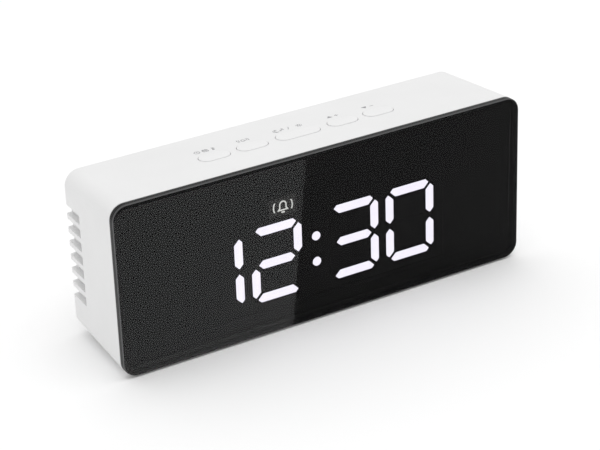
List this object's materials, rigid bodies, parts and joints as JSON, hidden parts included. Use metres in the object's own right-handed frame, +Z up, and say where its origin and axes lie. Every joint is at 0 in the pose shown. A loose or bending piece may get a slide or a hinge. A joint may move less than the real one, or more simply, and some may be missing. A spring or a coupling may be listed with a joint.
{
  "type": "digital alarm clock",
  "caption": "Low rectangular digital alarm clock with a half-mirror front, glowing white digits, a row of top buttons, side grooves and a rear battery door.",
  "frame": {"origin": "on the table under the middle of the clock's bounding box", "axes": "+X along the clock's width, +Y from the mirror front to the back, +Z up"},
  "size_m": [0.144, 0.0354, 0.0564],
  "materials": {
    "case_white": "fine satin moulded",
    "frame_black": "matte moulded",
    "smoked_mirror": "polished half-mirror acrylic",
    "tape_black": "matte foam tape",
    "lit_white": "glowing diffuser",
    "diffuser_dark": "smoked diffuser",
    "lit_grey": "dimly glowing diffuser",
    "led_yellow": "phosphor",
    "board_green": "solder mask",
    "chip_black": "moulded epoxy",
    "tinned_metal": "tinned",
    "capacitor_sleeve": "shrink sleeve",
    "ribbon_grey": "flat cable",
    "contact_nickel": "nickel plated",
    "screw_steel": "zinc plated",
    "button_white": "satin moulded",
    "plunger_grey": "moulded",
    "cell_jacket": "printed jacket",
    "lead_red": "PVC insulation",
    "lead_black": "PVC insulation",
    "foot_rubber": "matte rubber"
  },
  "bodies": {
    "case": {"housing": "case_white", "front_frame": "frame_black", "mirror_panel": "smoked_mirror", "panel_tape": "tape_black", "display_reflector": "frame_black", "lit_segments": "lit_white", "unlit_segments": "diffuser_dark", "icon_diffuser": "diffuser_dark", "alarm_icon": "lit_grey", "display_leds": "led_yellow", "main_board": "board_green", "main_chip": "chip_black", "driver_chip": "chip_black", "crystal": "tinned_metal", "capacitors": "capacitor_sleeve", "buzzer": "chip_black", "key_board": "board_green", "switch_bodies": "chip_black", "key_ribbon": "ribbon_grey", "power_board": "board_green", "usb_socket": "tinned_metal", "usb_tongue": "chip_black", "contact_plates": "contact_nickel", "contact_springs": "contact_nickel", "case_screws": "screw_steel", "board_screws": "screw_steel", "key_board_screws": "screw_steel", "power_board_screws": "screw_steel", "cell_1": "cell_jacket", "cell_2": "cell_jacket", "cell_3": "cell_jacket", "cell_4": "cell_jacket", "battery_lead_red": "lead_red", "battery_lead_black": "lead_black", "power_lead_red": "lead_red", "power_lead_black": "lead_black", "foot_front_left": "foot_rubber", "foot_front_right": "foot_rubber", "foot_back_left": "foot_rubber", "foot_back_right": "foot_rubber"},
    "mode_key": {"mode_button": "button_white", "mode_plunger": "plunger_grey"},
    "alarm_key": {"alarm_button": "button_white", "alarm_plunger": "plunger_grey"},
    "snooze_key": {"snooze_button": "button_white", "snooze_plunger": "plunger_grey"},
    "up_key": {"up_button": "button_white", "up_plunger": "plunger_grey"},
    "down_key": {"down_button": "button_white", "down_plunger": "plunger_grey"},
    "door": {"battery_door": "case_white"}
  },
  "joints": [
    {"name": "mode_press", "type": "slide", "parent": "case", "child": "mode_key", "axis": [0, 0, -1], "range_m": [0, 0.0005], "stiffness_N_per_m": 1500, "springref_m": -0.0005},
    {"name": "alarm_press", "type": "slide", "parent": "case", "child": "alarm_key", "axis": [0, 0, -1], "range_m": [0, 0.0005], "stiffness_N_per_m": 1500, "springref_m": -0.0005},
    {"name": "snooze_press", "type": "slide", "parent": "case", "child": "snooze_key", "axis": [0, 0, -1], "range_m": [0, 0.0005], "stiffness_N_per_m": 1500, "springref_m": -0.0005},
    {"name": "up_press", "type": "slide", "parent": "case", "child": "up_key", "axis": [0, 0, -1], "range_m": [0, 0.0005], "stiffness_N_per_m": 1500, "springref_m": -0.0005},
    {"name": "down_press", "type": "slide", "parent": "case", "child": "down_key", "axis": [0, 0, -1], "range_m": [0, 0.0005], "stiffness_N_per_m": 1500, "springref_m": -0.0005},
    {"name": "door_swing", "type": "hinge", "parent": "case", "child": "door", "pos_m": [-0.018, 0.0177, 0.0052], "axis": [-1, 0, 0], "range_deg": [0, 75]}
  ]
}
